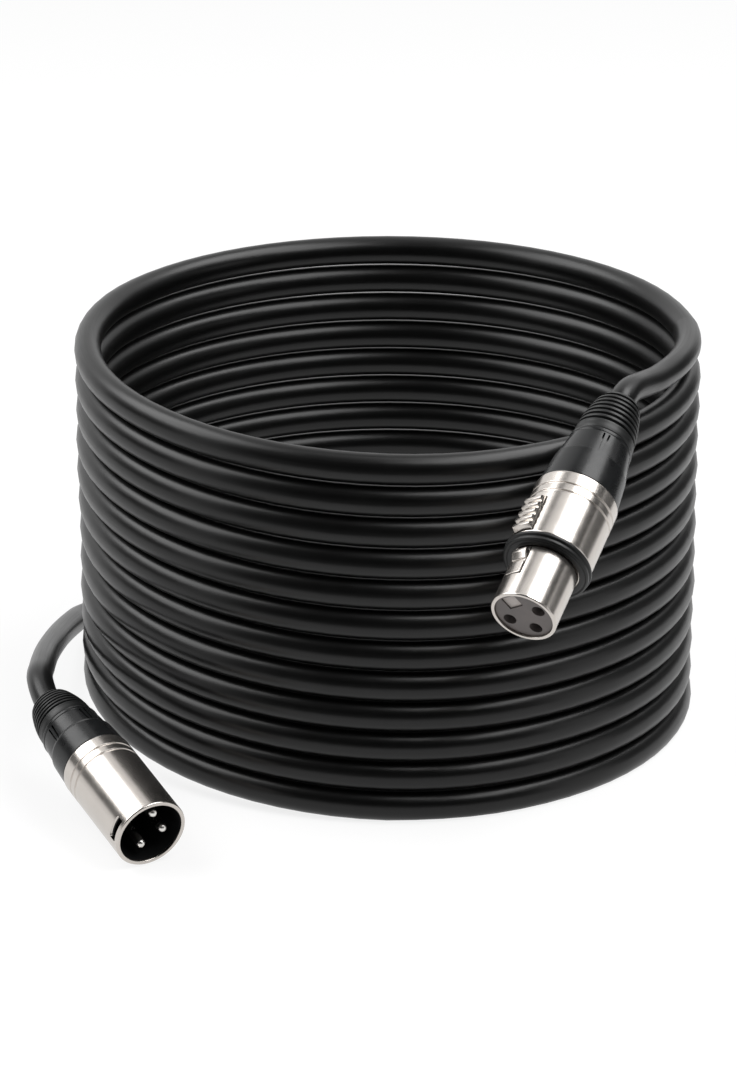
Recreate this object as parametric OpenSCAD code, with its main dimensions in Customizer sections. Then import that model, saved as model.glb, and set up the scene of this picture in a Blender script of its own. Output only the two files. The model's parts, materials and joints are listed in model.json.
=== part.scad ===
// XLR cable coil: one microphone cable wound into a standing coil, with the female
// connector hanging from the top turn and the male connector lying on the floor.
// The origin is on the coil's axis at floor level, +Z up. Millimetres.

/* [Cable] */
// Outside diameter of the cable jacket
cable_d = 7; // [6:0.1:8]
// Outside diameter of the wound coil
coil_outer_d = 160; // [130:1:220]
// Height from the middle of the bottom turn to the middle of the top one
coil_height = 96; // [40:1:200]
// Least free gap between one turn and the next
turn_gap = 1; // [0.6:0.1:2]
// Depth of the flat that the bottom turn rests on
rest_flat = 0.7; // [0.3:0.1:1]

/* [Female connector] */
// Length from the boot's tail to the nose's face
female_len = 69; // [66:0.5:84]
// Diameter of the metal barrel
female_barrel_d = 20.6; // [19:0.1:21]
// Diameter of the nose that enters a male socket
nose_d = 16; // [15.8:0.05:16.1]
// Length of the nose in front of the rubber ring
nose_len = 15; // [14:0.1:18]
// Width of the rubber ring along the connector
ring_w = 2.4; // [2:0.1:4]
// Diameter over the rubber ring
ring_d = 21.6; // [20:0.1:22]
// Length of the bare bushing between the boot and the barrel
female_bushing_len = 17.5; // [15:0.5:21]

/* [Male connector] */
// Length from the boot's tail to the mouth of the shell
male_len = 55; // [53:0.5:70]
// Diameter of the metal shell
male_shell_d = 18.4; // [18:0.1:20]
// Thickness of the black liner inside the socket
liner_wall = 0.45; // [0.4:0.05:0.5]
// Diameter of the socket inside the mouth
socket_d = 16.3; // [16.2:0.05:16.8]
// Depth of the socket behind the mouth
socket_depth = 16; // [14:0.1:18]
// Length of the bare bushing between the boot and the shell
male_bushing_len = 15; // [13:0.5:16]

/* [Contacts] */
// Diameter of a male contact pin
pin_d = 2.4; // [2:0.1:2.6]
// Distance from a pin's tip back to the mouth
pin_recess = 1.4; // [1:0.1:5]
// Radius of the circle that the contacts stand on
contact_circle_r = 4.5; // [4.2:0.1:4.6]
// Diameter of the contact openings in the female face
contact_hole_d = 3.2; // [3:0.1:3.2]

/* [Strain relief] */
// Length of the female connector's ribbed rubber boot
female_boot_len = 14.5; // [12:0.5:17]
// Length of the male connector's ribbed rubber boot
male_boot_len = 11.5; // [10:0.5:14]
// Radius of the boot at its tail
boot_tail_r = 4.8; // [4.6:0.1:5.2]
// Radius of the boot where it meets the bushing
boot_base_r = 7.4; // [7:0.1:7.9]
// Number of ribs on the boot
boot_ribs = 6; // [3:1:8]
// Depth of the grooves between the ribs
rib_depth = 0.6; // [0.3:0.1:0.8]

/* [Latch] */
// Length of the ribbed thumb pad
pad_len = 10.2; // [9:0.1:11]
// Width of the thumb pad
pad_w = 5.2; // [4.8:0.1:6.4]
// How far the pad stands above the barrel
pad_height = 1.3; // [1:0.1:2]
// Number of ribs across the pad
pad_ribs = 5; // [3:1:6]
// How far the hook stands above the nose
hook_height = 0.95; // [0.8:0.05:1.2]

/* [Hidden] */
$fn = 64;
eps = 0.01;

// Clearances and fits
soft_gap = 0.3;      // rubber or cable to its neighbours
run_gap = 0.05;      // pieces that turn or slide in one another
lever_gap = 0.3;     // the latch to the walls around it

// Cable
cable_r = cable_d / 2;
coil_r = coil_outer_d / 2 - cable_r;
coil_turns = floor(coil_height / (cable_d + turn_gap));
pitch = coil_height / coil_turns;
floor_z = cable_r - rest_flat;
coil_from = 105;     // angle of the bottom end
coil_to = 10;        // angle of the top end
loops = coil_turns + (coil_from - coil_to) / 360;
loop_rings = 24;
loop_sides = 6;
climb_from = 0.48;   // each turn lies level, then climbs one pitch over this share of it
climb_to = 0.86;
lead_sides = 10;
top_z = floor_z + coil_height;

// Place beside the coil: angle, distance out from the coil's centreline, height
function beside(a, out, z) = [(coil_r + out) * cos(a), (coil_r + out) * sin(a), z];

// Female connector, measured along its own axis from the boot's tail
female_angle = -47.3;
female_out = 6;
female_at = beside(female_angle, female_out, top_z + 3.5);
female_heading = 246;
female_droop = 28;
female_roll = 210;
female_barrel_r = female_barrel_d / 2;
nose_r = nose_d / 2;
nose_wall = 0.9;
ring_front = female_len - nose_len;
ring_back = ring_front - ring_w;
ring_seat_r = nose_r + 0.9;
female_barrel_z = female_boot_len + female_bushing_len;

// Male connector, measured along its own axis from the boot's tail
male_shell_r = male_shell_d / 2;
male_angle = 214.9;
male_out = 25.9;
male_heading = 301.2;
male_droop = 14.5;   // its mouth's rim stands on the floor and its cable holds its tail up
male_at = beside(male_angle, male_out,
  male_len * sin(male_droop) + male_shell_r * cos(male_droop));
male_roll = 255;
socket_r = socket_d / 2;
liner_r = socket_r + liner_wall;
mouth_lip = 0.8;
male_barrel_z = male_boot_len + male_bushing_len;
socket_floor = male_len - socket_depth;

// Rear end that both connectors share
skirt_len = 8;
skirt_r = 8.2;
shell_bore_r = 6.9;
chuck_r = shell_bore_r - 0.2;
chuck_bore_r = cable_r + soft_gap;
neck_len = 3.5;
neck_r = 5.5;
shelf_drop = 3;      // from the barrel's rear back to the ledge that the chuck is pressed against
shelf_w = 1;
shelf_r = 6;
shelf_cone = 2;      // length of the cone behind the ledge
groove_w = 0.7;
groove_depth = 0.3;
boot_bore_r = cable_r + soft_gap;
bore_flare = 0.3;    // the boot's bore opens at its tail, where the cable bends
bore_flare_len = 4;
female_slits = [10 : 72 : 298];
male_slits = [24 : 72 : 312];
slit_len = 6.5;
slit_w = 0.7;
slit_depth = 0.5;
rise_len = 0.4;      // length of the low step behind the bushing's front half

// Contacts and inserts
pin_r = pin_d / 2;
pin_root_r = pin_r + 0.2;   // the thicker part held by the insert
contact_r = contact_hole_d / 2;
contact_angles = [90, -90, 180];
insert_len = 19.4;
face_recess = 0.6;
insert_back = female_len - face_recess - insert_len;
insert_r = nose_r - nose_wall;
contact_front = female_len - face_recess - 3.2;
socket_bore_len = 12;
cup_len = 4;
cup_r = 1.3;
male_insert_len = 7;
male_insert_back = socket_floor - male_insert_len;
wire_r = 0.65;
wire_circle_r = 1.7;
wire_gap = 6;        // from the end of the jacket to the solder cups

// Latch, along +X of the female connector
lever_in = insert_r - 0.5;
lever_out = lever_in + 1.2;
lever_w = 4.3;
lever_front = ring_front + 8.2;
lever_swing = 1.6;   // room for the lever below its resting place
hook_from = ring_front + 1.4;
hook_to = hook_from + 2.6;
hook_top_len = 0.8;
step_from = hook_to + 0.6;     // low step at the lever's tip
step_rise = 0.05;
pad_front = ring_back - 0.75;
pad_back = pad_front - pad_len;
eye_r = 1.3;
pivot_x = lever_in + 0.6;
pivot_z = pad_back - 1.8;
pivot_r = 0.7;
key_w = 4;
key_from = 2.8;
key_to = 6.4;
key_recess = 0.4;
key_len = 3.6;
slot_len = 2.4;
slot_w = 6;
slot_from_mouth = 1.2;

// Colours
jacket_c = "#151617";
rubber_c = "#1b1c1d";
nickel_c = "#b9b3ab";
plastic_c = "#2b2c2d";
insert_c = "#7d7774";
key_c = "#aca6a3";
brass_c = "#b08d4c";
silver_c = "#c9c7c2";
copper_c = "#8c3b2a";

cable_coil();
cable_lead_female();
cable_lead_male();
female_shell();
female_ring();
female_insert();
female_key_block();
female_contact(0);  // female_contact_1
female_contact(1);  // female_contact_2
female_contact(2);  // female_contact_3
female_latch();
female_latch_pin();
female_latch_spring();
female_chuck();
female_bushing();
female_boot();
female_conductors();
male_shell();
male_insert();
male_pin(0);  // male_pin_1
male_pin(1);  // male_pin_2
male_pin(2);  // male_pin_3
male_chuck();
male_bushing();
male_boot();
male_conductors();

// ---- Places of the two connectors ----

module female_place() {
  translate(female_at) rotate([0, 90 + female_droop, female_heading]) children();
}

module male_place() {
  translate(male_at) rotate([0, 90 + male_droop, male_heading]) children();
}

function pointing(heading, droop) =
  [cos(droop) * cos(heading), cos(droop) * sin(heading), -sin(droop)];

female_axis = pointing(female_heading, female_droop);
male_axis = pointing(male_heading, male_droop);

// ---- Tubes along a path ----

function unit(v) = v / norm(v);

function tangent(path, i) =
  unit(path[min(i + 1, len(path) - 1)] - path[max(i - 1, 0)]);

// Corners of the ring at one point of a path, with a flat side downwards
function ring(p, t, r, sides, up) =
  let (side = unit(cross(t, up)), high = cross(side, t))
  [for (k = [0 : sides - 1]) let (a = 270 + 360 * (k + 0.5) / sides)
    p + r * (cos(a) * side + sin(a) * high)];

// Corner radius of a polygon with the area of a circle
function same_area_r(r, sides) = r * sqrt(2 * PI / (sides * sin(360 / sides)));

function above(points, low) = [for (q = points) [q.x, q.y, max(q.z, low)]];

// One closed tube of triangles, pressed flat where it would sink below low
module tube(path, r, sides, up = [0, 0, 1], low = -1000) {
  n = len(path);
  corner_r = same_area_r(r, sides);
  points = [for (i = [0 : n - 1])
    each above(ring(path[i], tangent(path, i), corner_r, sides, up), low)];
  start_cap = [for (k = [1 : sides - 2]) [0, k, k + 1]];
  last = (n - 1) * sides;
  end_cap = [for (k = [1 : sides - 2]) [last, last + k + 1, last + k]];
  wall = [for (i = [0 : n - 2], k = [0 : sides - 1])
    let (a = i * sides + k, b = i * sides + (k + 1) % sides)
    each [[a, a + sides, b], [b, a + sides, b + sides]]];
  polyhedron(points, concat(start_cap, end_cap, wall), convexity = 10);
}

// A smooth line through route points: steps places on each stretch between two of them
function spline(route, steps) = [
  for (i = [1 : len(route) - 3], s = [0 : steps - 1]) between(route, i, s / steps),
  route[len(route) - 2]];

function between(route, i, t) =
  let (a = route[i - 1], b = route[i], c = route[i + 1], d = route[i + 2])
  0.5 * (2 * b + (c - a) * t + (2 * a - 5 * b + 4 * c - d) * t * t
    + (3 * b - a - 3 * c + d) * t * t * t);

// ---- Cable ----

function ease(x) = let (c = min(max(x, 0), 1)) c * c * (3 - 2 * c);

// Level turns that each climb one pitch to the next
function coil_z(u) =
  floor_z + pitch * (floor(u) + ease((u - floor(u) - climb_from) / (climb_to - climb_from)));

function coil_point(u) =
  let (a = coil_from - 360 * u) [coil_r * cos(a), coil_r * sin(a), coil_z(u)];

// Heading along the coil, upwards
function coil_tangent(u) = let (a = coil_from - 360 * u) [sin(a), -cos(a), 0];

coil_low_end = coil_point(0) - cable_d * coil_tangent(0);
coil_top_end = coil_point(loops) + cable_d * coil_tangent(loops);

ring_count = floor(loops * loop_rings);
coil_path = concat([coil_low_end],
  [for (i = [0 : ring_count]) coil_point(min(i / loop_rings, loops))],
  [coil_point(loops), coil_top_end]);

// Least distance between the corners of one turn and those of the turn above
function corner_gap(i, j) =
  let (r = same_area_r(cable_r, loop_sides),
    a = ring(coil_path[i], tangent(coil_path, i), r, loop_sides, [0, 0, 1]),
    b = ring(coil_path[j], tangent(coil_path, j), r, loop_sides, [0, 0, 1]))
  min([for (p = a, q = b) norm(p - q)]);
least_gap = min([for (i = [1 : ring_count - loop_rings], s = [-1 : 1])
  corner_gap(i, i + loop_rings + s)]);
echo(least_gap_between_turns_mm = least_gap, loops = loops);

module cable_coil() {
  color(jacket_c) tube(coil_path, cable_r, loop_sides, low = 0);
}

// From the top turn, lifting a little, to the tail of the female connector
female_route = [
  coil_top_end - 12 * coil_tangent(loops),
  coil_top_end,
  beside(-6.7, 0, top_z + 0.7),
  beside(-18.7, 0, top_z + 1.7),
  beside(-29.8, 0.3, top_z + 2.4),
  beside(-36.5, 1.2, top_z + 3.5),
  beside(-42.6, 3.3, top_z + 4.8),
  female_at - 1.5 * female_axis,
  female_at + 3 * female_axis,
  female_at + 12 * female_axis];
jacket_in_female = female_len - face_recess - insert_len - cup_len - wire_gap;

module cable_lead_female() {
  free = spline(female_route, 5);
  color(jacket_c) tube(concat(free, [female_at + jacket_in_female * female_axis]),
    cable_r, lead_sides);
}

// From the foot of the coil, climbing round its side, then down into the male connector
male_route = [
  coil_low_end + 18 * coil_tangent(0),
  coil_low_end,
  beside(123.5, 6.8, floor_z),
  beside(137.5, 11.6, floor_z + 0.4),
  beside(148, 13.8, floor_z + 2),
  beside(156.6, 14.2, 7),
  beside(164.3, 11.9, 10),
  beside(174.3, 10.6, 13.5),
  beside(184.2, 11.2, 17),
  beside(194.2, 14.1, 20.5),
  beside(203.1, 18.7, 23.5),
  beside(209.1, 23.2, 25),
  male_at - 1.5 * male_axis,
  male_at + 4 * male_axis,
  male_at + 15 * male_axis];
jacket_in_male = male_insert_back - cup_len - wire_gap;

module cable_lead_male() {
  free = spline(male_route, 4);
  color(jacket_c) tube(concat(free, [male_at + jacket_in_male * male_axis]),
    cable_r, lead_sides, low = 0);
}

// ---- Strain relief that both connectors share ----

// Ribbed rubber boot with a neck that the bushing holds
module boot(long) {
  rib = (long - 2) / boot_ribs;
  color(rubber_c) difference() {
    rotate_extrude() union() {
      polygon([[boot_bore_r, bore_flare_len], [boot_bore_r + bore_flare, 0],
        [boot_tail_r - 0.4, 0], [boot_tail_r, 0.4],
        [boot_base_r, long - 1], [boot_base_r, long], [boot_bore_r, long]]);
      translate([boot_bore_r, long - eps]) square([neck_r - boot_bore_r, neck_len + eps]);
    }
    for (i = [0 : boot_ribs - 1]) {
      z = 1 + i * rib;
      r = boot_tail_r + (boot_base_r - boot_tail_r) * z / long;
      translate([0, 0, z + rib * 0.62]) difference() {
        cylinder(r = r + 3, h = rib * 0.38);
        translate([0, 0, -eps]) cylinder(r = r - rib_depth + 0.3, h = rib);
      }
    }
  }
}

// Screwed sleeve between the boot and the shell, with pairs of slits behind its waist
module bushing(back, barrel_z, front_r, waist_r, rise, slits) {
  rear_r = boot_base_r + 0.3;
  shoulder = 1.4;
  skirt_back = barrel_z - skirt_len;
  chuck_back = back + neck_len;
  middle = back + (barrel_z - back) * 0.45;
  lean = atan((waist_r - rear_r) / (middle - back - shoulder));
  color(plastic_c) difference() {
    rotate_extrude() polygon([
      [neck_r, back], [boot_base_r + 0.1, back], [boot_base_r + 0.4, back + 0.4],
      [boot_base_r + 0.4, back + 1.2], [rear_r, back + shoulder],
      [waist_r, middle], [waist_r + rise, middle + rise_len],
      [front_r, barrel_z - 0.3], [front_r - 0.3, barrel_z],
      [skirt_r + run_gap, barrel_z], [skirt_r + run_gap, skirt_back],
      [chuck_r + run_gap, skirt_back], [chuck_r + run_gap, chuck_back],
      [neck_r, chuck_back]]);
    for (a = slits) rotate([0, 0, a])
      translate([rear_r - slit_depth, 0, back + shoulder + 0.4]) rotate([0, lean, 0]) slit_pair();
  }
}

// Two slits side by side that narrow and close in on one another towards the front
module slit_pair() {
  for (side = [0, 1]) mirror([0, side, 0]) rotate([90, 0, 90]) linear_extrude(3)
    polygon([[slit_w, 0], [2 * slit_w, 0], [1.4 * slit_w, slit_len * 0.6],
      [0.5 * slit_w, slit_len], [0.7 * slit_w, slit_len * 0.6]]);
}

// Slit collet that grips the cable
module chuck(boot_end, barrel_z) {
  back = boot_end + neck_len + run_gap;
  front = barrel_z - shelf_drop;
  nose = shelf_cone * (chuck_r - shelf_r) / (shell_bore_r - shelf_r);
  color(plastic_c) difference() {
    rotate_extrude() polygon([[chuck_bore_r, back], [chuck_r, back],
      [chuck_r, front - nose - run_gap], [shelf_r - run_gap, front - run_gap],
      [chuck_bore_r, front - run_gap]]);
    for (a = [0 : 45 : 135])
      rotate([0, 0, a]) translate([-10, -0.4, back + 3]) cube([20, 0.8, 20]);
  }
}

// Conductors from the end of the jacket to the solder cups
module conductors(jacket_end, cup_back) {
  color(copper_c) for (a = contact_angles)
    rotate([0, 0, a]) tube([[wire_circle_r, 0, jacket_end], [wire_circle_r, 0, jacket_end + 1.5],
      [contact_circle_r, 0, cup_back - 1.5], [contact_circle_r, 0, cup_back]],
      wire_r, 8, up = [0, 1, 0]);
}

// Grooves cut round the rear of a barrel
module barrel_grooves(barrel_z, r) {
  for (z = [barrel_z + 3.4, barrel_z + 5.8])
    translate([0, 0, z]) difference() {
      cylinder(r = r + 1, h = groove_w);
      translate([0, 0, -eps]) cylinder(r = r - groove_depth, h = groove_w + 2 * eps);
    }
}

// ---- Female connector ----

module female_shell() {
  shelf_z = female_barrel_z - shelf_drop;
  female_place() rotate([0, 0, female_roll]) color(nickel_c) difference() {
    rotate_extrude($fn = 96) polygon([
      [shell_bore_r, female_barrel_z - skirt_len], [skirt_r, female_barrel_z - skirt_len],
      [skirt_r, female_barrel_z], [female_barrel_r - 0.3, female_barrel_z],
      [female_barrel_r, female_barrel_z + 0.3], [female_barrel_r, ring_back - 0.4],
      [female_barrel_r - 0.4, ring_back], [ring_seat_r, ring_back],
      [ring_seat_r, ring_front - 0.5], [nose_r, ring_front - 0.5],
      [nose_r, female_len - 0.5], [nose_r - 0.4, female_len],
      [insert_r + 0.1, female_len], [insert_r, female_len - 0.1], [insert_r, insert_back],
      [shell_bore_r - 0.6, insert_back], [shell_bore_r - 0.6, insert_back - 1.5],
      [shell_bore_r, insert_back - 1.5], [shell_bore_r, shelf_z + shelf_w],
      [shelf_r, shelf_z + shelf_w], [shelf_r, shelf_z], [shell_bore_r, shelf_z - shelf_cone]]);
    barrel_grooves(female_barrel_z, female_barrel_r);
    // window for the thumb pad
    translate([shelf_r - 1, -pad_w / 2 - lever_gap, pad_back - lever_gap])
      cube([10, pad_w + 2 * lever_gap, pad_len + 2 * lever_gap]);
    // channel for the lever, open on the nose for the hook
    channel(pivot_z - eye_r - lever_gap, ring_back - 1, pivot_x + eye_r + lever_gap);
    channel(ring_back - 1.1, ring_front, lever_out + lever_gap);
    channel(ring_front - 0.6, lever_front + lever_gap, nose_r + 2);
    female_pin_bore(pivot_r);
  }
}

module channel(from, to, top) {
  translate([lever_in - lever_swing, -lever_w / 2 - lever_gap, from])
    cube([top - lever_in + lever_swing, lever_w + 2 * lever_gap, to - from]);
}

module female_pin_bore(r) {
  translate([pivot_x, 0, pivot_z]) rotate([90, 0, 0]) cylinder(r = r, h = 9, center = true);
}

module female_latch_pin() {
  female_place() rotate([0, 0, female_roll]) color(silver_c) female_pin_bore(pivot_r);
}

// Double bead of rubber at the shoulder
module female_ring() {
  bead = ring_w / 4;
  female_place() rotate([0, 0, female_roll]) color(rubber_c) rotate_extrude($fn = 96) union() {
    translate([ring_seat_r, ring_back]) square([ring_d / 2 - ring_seat_r - bead, ring_w - 0.5]);
    translate([nose_r + soft_gap, ring_front - 0.5])
      square([ring_d / 2 - nose_r - soft_gap - bead, 0.5]);
    for (z = [ring_back + bead, ring_front - bead])
      translate([ring_d / 2 - bead, z]) circle(r = bead, $fn = 24);
  }
}

module female_insert() {
  female_place() rotate([0, 0, female_roll]) color(insert_c) difference() {
    translate([0, 0, insert_back]) cylinder(r = insert_r, h = insert_len);
    for (a = contact_angles) rotate([0, 0, -a]) translate([contact_circle_r, 0, insert_back - 1])
      cylinder(r = contact_r, h = insert_len + 2, $fn = 32);
    channel(insert_back - 1, lever_front + lever_gap, nose_r + 2);
    translate([key_from, -key_w / 2, female_len - face_recess - key_recess - key_len])
      cube([key_to - key_from, key_w, key_len + 2]);
  }
}

module female_key_block() {
  female_place() rotate([0, 0, female_roll]) color(key_c)
    translate([key_from, -key_w / 2, female_len - face_recess - key_recess - key_len])
      cube([key_to - key_from, key_w, key_len]);
}

// Socket contact with its solder cup
module female_contact(i) {
  female_place() rotate([0, 0, female_roll - contact_angles[i]])
    translate([contact_circle_r, 0, 0]) color(brass_c) difference() {
      union() {
        translate([0, 0, insert_back]) cylinder(r = contact_r, h = contact_front - insert_back, $fn = 32);
        translate([0, 0, insert_back - cup_len]) cylinder(r = cup_r, h = cup_len + eps, $fn = 32);
      }
      translate([0, 0, contact_front - socket_bore_len])
        cylinder(r = pin_r + run_gap, h = socket_bore_len + 1, $fn = 32);
      translate([0, -0.2, contact_front - 6]) cube([3, 0.4, 7]);
    }
}

// Lever with the thumb pad and the hook, swinging on its pin
module female_latch() {
  w = lever_w;
  rib = pad_len / pad_ribs;
  pad_top = female_barrel_r + pad_height;
  female_place() rotate([0, 0, female_roll]) color(nickel_c) difference() {
    union() {
      translate([lever_in, -w / 2, pivot_z]) cube([lever_out - lever_in, w, lever_front - pivot_z]);
      translate([pivot_x, 0, pivot_z]) rotate([90, 0, 0]) cylinder(r = eye_r, h = w, center = true);
      // thumb pad with its ribs
      rotate([90, 0, 0]) linear_extrude(pad_w, center = true) polygon(concat(
        [[lever_out - 0.2, pad_back], [pad_top - 1.3, pad_back]],
        [for (i = [0 : pad_ribs - 1]) each [
          [pad_top - 0.7, pad_back + rib * (i + 0.12)], [pad_top, pad_back + rib * (i + 0.3)],
          [pad_top, pad_back + rib * (i + 0.7)], [pad_top - 0.7, pad_back + rib * (i + 0.88)]]],
        [[pad_top - 1.3, pad_front], [lever_out - 0.2, pad_front]]));
      // hook, steep behind and sloped in front
      rotate([90, 0, 0]) linear_extrude(w, center = true) polygon([
        [lever_out - 0.2, hook_from], [nose_r + hook_height, hook_from],
        [nose_r + hook_height, hook_from + hook_top_len], [nose_r, hook_to],
        [lever_out - 0.2, hook_to]]);
      translate([lever_out - 0.2, -w / 2, step_from])
        cube([nose_r + step_rise - lever_out + 0.2, w, lever_front - step_from]);
    }
    female_pin_bore(pivot_r + run_gap);
  }
}

// Leaf that pushes the lever out, seated in the insert's channel
module female_latch_spring() {
  low = lever_in - lever_swing;
  female_place() rotate([0, 0, female_roll]) color(silver_c)
    rotate([90, 0, 0]) linear_extrude(2.6, center = true) polygon([
      [low, insert_back + 1], [low + 0.3, insert_back + 1], [low + 0.3, insert_back + 6],
      [lever_in - 0.1, insert_back + 11], [low + 0.6, insert_back + 11.4],
      [low, insert_back + 7]]);
}

module female_chuck() {
  female_place() chuck(female_boot_len, female_barrel_z);
}

module female_bushing() {
  female_place()
    bushing(female_boot_len, female_barrel_z, female_barrel_r - 0.25, 9, 0.15, female_slits);
}

module female_boot() {
  female_place() boot(female_boot_len);
}

module female_conductors() {
  female_place() rotate([0, 0, female_roll]) mirror([0, 1, 0])
    conductors(jacket_in_female, insert_back - cup_len);
}

// ---- Male connector ----

module male_shell() {
  shelf_z = male_barrel_z - shelf_drop;
  male_place() rotate([0, 0, male_roll]) color(nickel_c) difference() {
    rotate_extrude($fn = 96) polygon([
      [shell_bore_r, male_barrel_z - skirt_len], [skirt_r, male_barrel_z - skirt_len],
      [skirt_r, male_barrel_z], [male_shell_r - 0.3, male_barrel_z],
      [male_shell_r, male_barrel_z + 0.3], [male_shell_r, male_len - 0.4],
      [male_shell_r - 0.4, male_len], [socket_r + 0.2, male_len], [socket_r, male_len - 0.3],
      [socket_r, male_len - mouth_lip], [liner_r, male_len - mouth_lip],
      [liner_r, male_insert_back], [shell_bore_r, male_insert_back],
      [shell_bore_r, shelf_z + shelf_w], [shelf_r, shelf_z + shelf_w], [shelf_r, shelf_z],
      [shell_bore_r, shelf_z - shelf_cone]]);
    barrel_grooves(male_barrel_z, male_shell_r);
    latch_slot();
  }
}

// Slot that a female latch hooks into
module latch_slot() {
  translate([socket_r - 2, -slot_w / 2, male_len - slot_from_mouth - slot_len])
    cube([4, slot_w, slot_len]);
}

// Disc that carries the pins, with a thin sleeve that lines the socket
module male_insert() {
  male_place() rotate([0, 0, male_roll]) color(plastic_c) difference() {
    translate([0, 0, male_insert_back])
      cylinder(r = liner_r, h = male_len - mouth_lip - male_insert_back);
    translate([0, 0, socket_floor]) cylinder(r = socket_r, h = socket_depth);
    for (a = contact_angles) rotate([0, 0, a]) translate([contact_circle_r, 0, male_insert_back - 1])
      cylinder(r = pin_root_r, h = male_insert_len + 2, $fn = 32);
    latch_slot();
  }
}

// Contact pin with a round tip in front and a solder cup behind
module male_pin(i) {
  tip = male_len - pin_recess;
  male_place() rotate([0, 0, male_roll + contact_angles[i]])
    translate([contact_circle_r, 0, 0]) color(silver_c) rotate_extrude($fn = 32) polygon(concat(
      [[0, male_insert_back - cup_len], [cup_r, male_insert_back - cup_len],
        [cup_r, male_insert_back], [pin_root_r, male_insert_back],
        [pin_root_r, socket_floor], [pin_r, socket_floor]],
      [for (a = [0 : 15 : 75]) [pin_r * cos(a), tip - pin_r + pin_r * sin(a)]],
      [[0, tip]]));
}

module male_chuck() {
  male_place() chuck(male_boot_len, male_barrel_z);
}

module male_bushing() {
  male_place() bushing(male_boot_len, male_barrel_z, male_shell_r - 0.2, 8.15, 0.4, male_slits);
}

module male_boot() {
  male_place() boot(male_boot_len);
}

module male_conductors() {
  male_place() rotate([0, 0, male_roll]) conductors(jacket_in_male, male_insert_back - cup_len);
}
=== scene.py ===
"""A microphone cable wound into a standing coil, with a female connector hanging from its
top turn and a male connector that stands on its mouth's rim beside the foot. Every piece
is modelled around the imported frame, in metres, and rides on the frame's bodies."""

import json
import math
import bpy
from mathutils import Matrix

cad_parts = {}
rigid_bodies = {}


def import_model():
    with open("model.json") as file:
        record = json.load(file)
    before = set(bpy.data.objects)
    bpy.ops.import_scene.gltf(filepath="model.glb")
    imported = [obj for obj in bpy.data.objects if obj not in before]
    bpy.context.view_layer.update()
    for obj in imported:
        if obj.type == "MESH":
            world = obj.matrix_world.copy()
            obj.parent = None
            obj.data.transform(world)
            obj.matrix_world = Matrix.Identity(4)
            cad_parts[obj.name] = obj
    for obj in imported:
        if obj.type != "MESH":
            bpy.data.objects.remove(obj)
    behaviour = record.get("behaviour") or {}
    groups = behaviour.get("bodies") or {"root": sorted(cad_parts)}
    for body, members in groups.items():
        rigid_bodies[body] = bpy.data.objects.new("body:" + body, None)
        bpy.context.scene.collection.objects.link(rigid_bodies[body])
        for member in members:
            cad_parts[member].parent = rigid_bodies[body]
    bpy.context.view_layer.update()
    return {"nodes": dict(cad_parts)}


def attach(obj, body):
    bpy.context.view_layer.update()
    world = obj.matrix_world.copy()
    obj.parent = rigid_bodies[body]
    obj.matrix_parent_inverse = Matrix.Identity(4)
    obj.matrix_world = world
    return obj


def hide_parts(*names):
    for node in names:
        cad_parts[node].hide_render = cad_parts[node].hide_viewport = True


bl_info = {
    "name": "XLR Cable Coil",
    "version": (1, 0, 0),
    "blender": (4, 5, 0),
    "location": "3D View > Sidebar > Cable Coil",
    "description": "Builds a coiled microphone cable with its two connectors",
    "category": "Add Mesh",
}

import bpy
from bpy.props import FloatProperty, FloatVectorProperty, IntProperty, PointerProperty
from mathutils import Matrix, Vector

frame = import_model()
MM = 0.001
FULL_TURN = 2 * math.pi
BASE = "cable_and_shells"


def linear(hex_code):
    """Linear colour of an sRGB hex value."""
    values = [int(hex_code[i:i + 2], 16) / 255 for i in (1, 3, 5)]
    return tuple(v / 12.92 if v <= 0.04045 else ((v + 0.055) / 1.055) ** 2.4 for v in values)


def length(name, description, default_mm):
    return FloatProperty(name=name, description=description, default=default_mm * MM,
                         unit="LENGTH", precision=5)


def colour(name, description, default_hex):
    return FloatVectorProperty(name=name, description=description, subtype="COLOR",
                               default=linear(default_hex), min=0, max=1)


# ---- What a user would change ----

class CableSettings(bpy.types.PropertyGroup):
    diameter: length("Jacket", "Outside diameter of the jacket", 7)
    coil_diameter: length("Coil", "Outside diameter of the wound coil", 160)
    pitch: length("Pitch", "Height that the coil gains in one turn", 8)
    flat: length("Flat", "Depth of the flat that the bottom turn rests on", 0.7)
    turns: IntProperty(name="Turns", description="Whole turns in the coil", default=12)
    wander: length("Wander", "How far a turn strays from a true circle", 0.22)
    wound_width: length("Wound width", "Width of the jacket where it is wound", 6.8)
    wound_height: length("Wound height", "Height of the jacket where it is wound", 7.7)
    free_diameter: length("Free jacket", "Diameter of the free leads", 6.6)
    jacket: colour("Jacket", "Colour of the PVC jacket", "#070707")


class FemaleSettings(bpy.types.PropertyGroup):
    length: length("Length", "From the boot's tail to the nose's face", 69)
    barrel: length("Barrel", "Diameter of the metal barrel", 20.6)
    nose: length("Nose", "Diameter of the nose", 16)
    nose_length: length("Nose length", "Length of the nose in front of the ring", 15)
    ring: length("Ring", "Diameter over the rubber ring", 21.6)
    bushing: length("Bushing", "Length of the bare bushing", 17.5)
    boot: length("Boot", "Length of the ribbed boot", 14.5)


class MaleSettings(bpy.types.PropertyGroup):
    length: length("Length", "From the boot's tail to the mouth", 55)
    shell: length("Shell", "Diameter of the metal shell", 18.4)
    socket: length("Socket", "Diameter of the socket", 16.3)
    socket_depth: length("Socket depth", "Depth of the socket behind the mouth", 16)
    bushing: length("Bushing", "Length of the bare bushing", 15)
    boot: length("Boot", "Length of the ribbed boot", 11.5)
    pin: length("Pin", "Diameter of a contact pin", 2.4)


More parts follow.
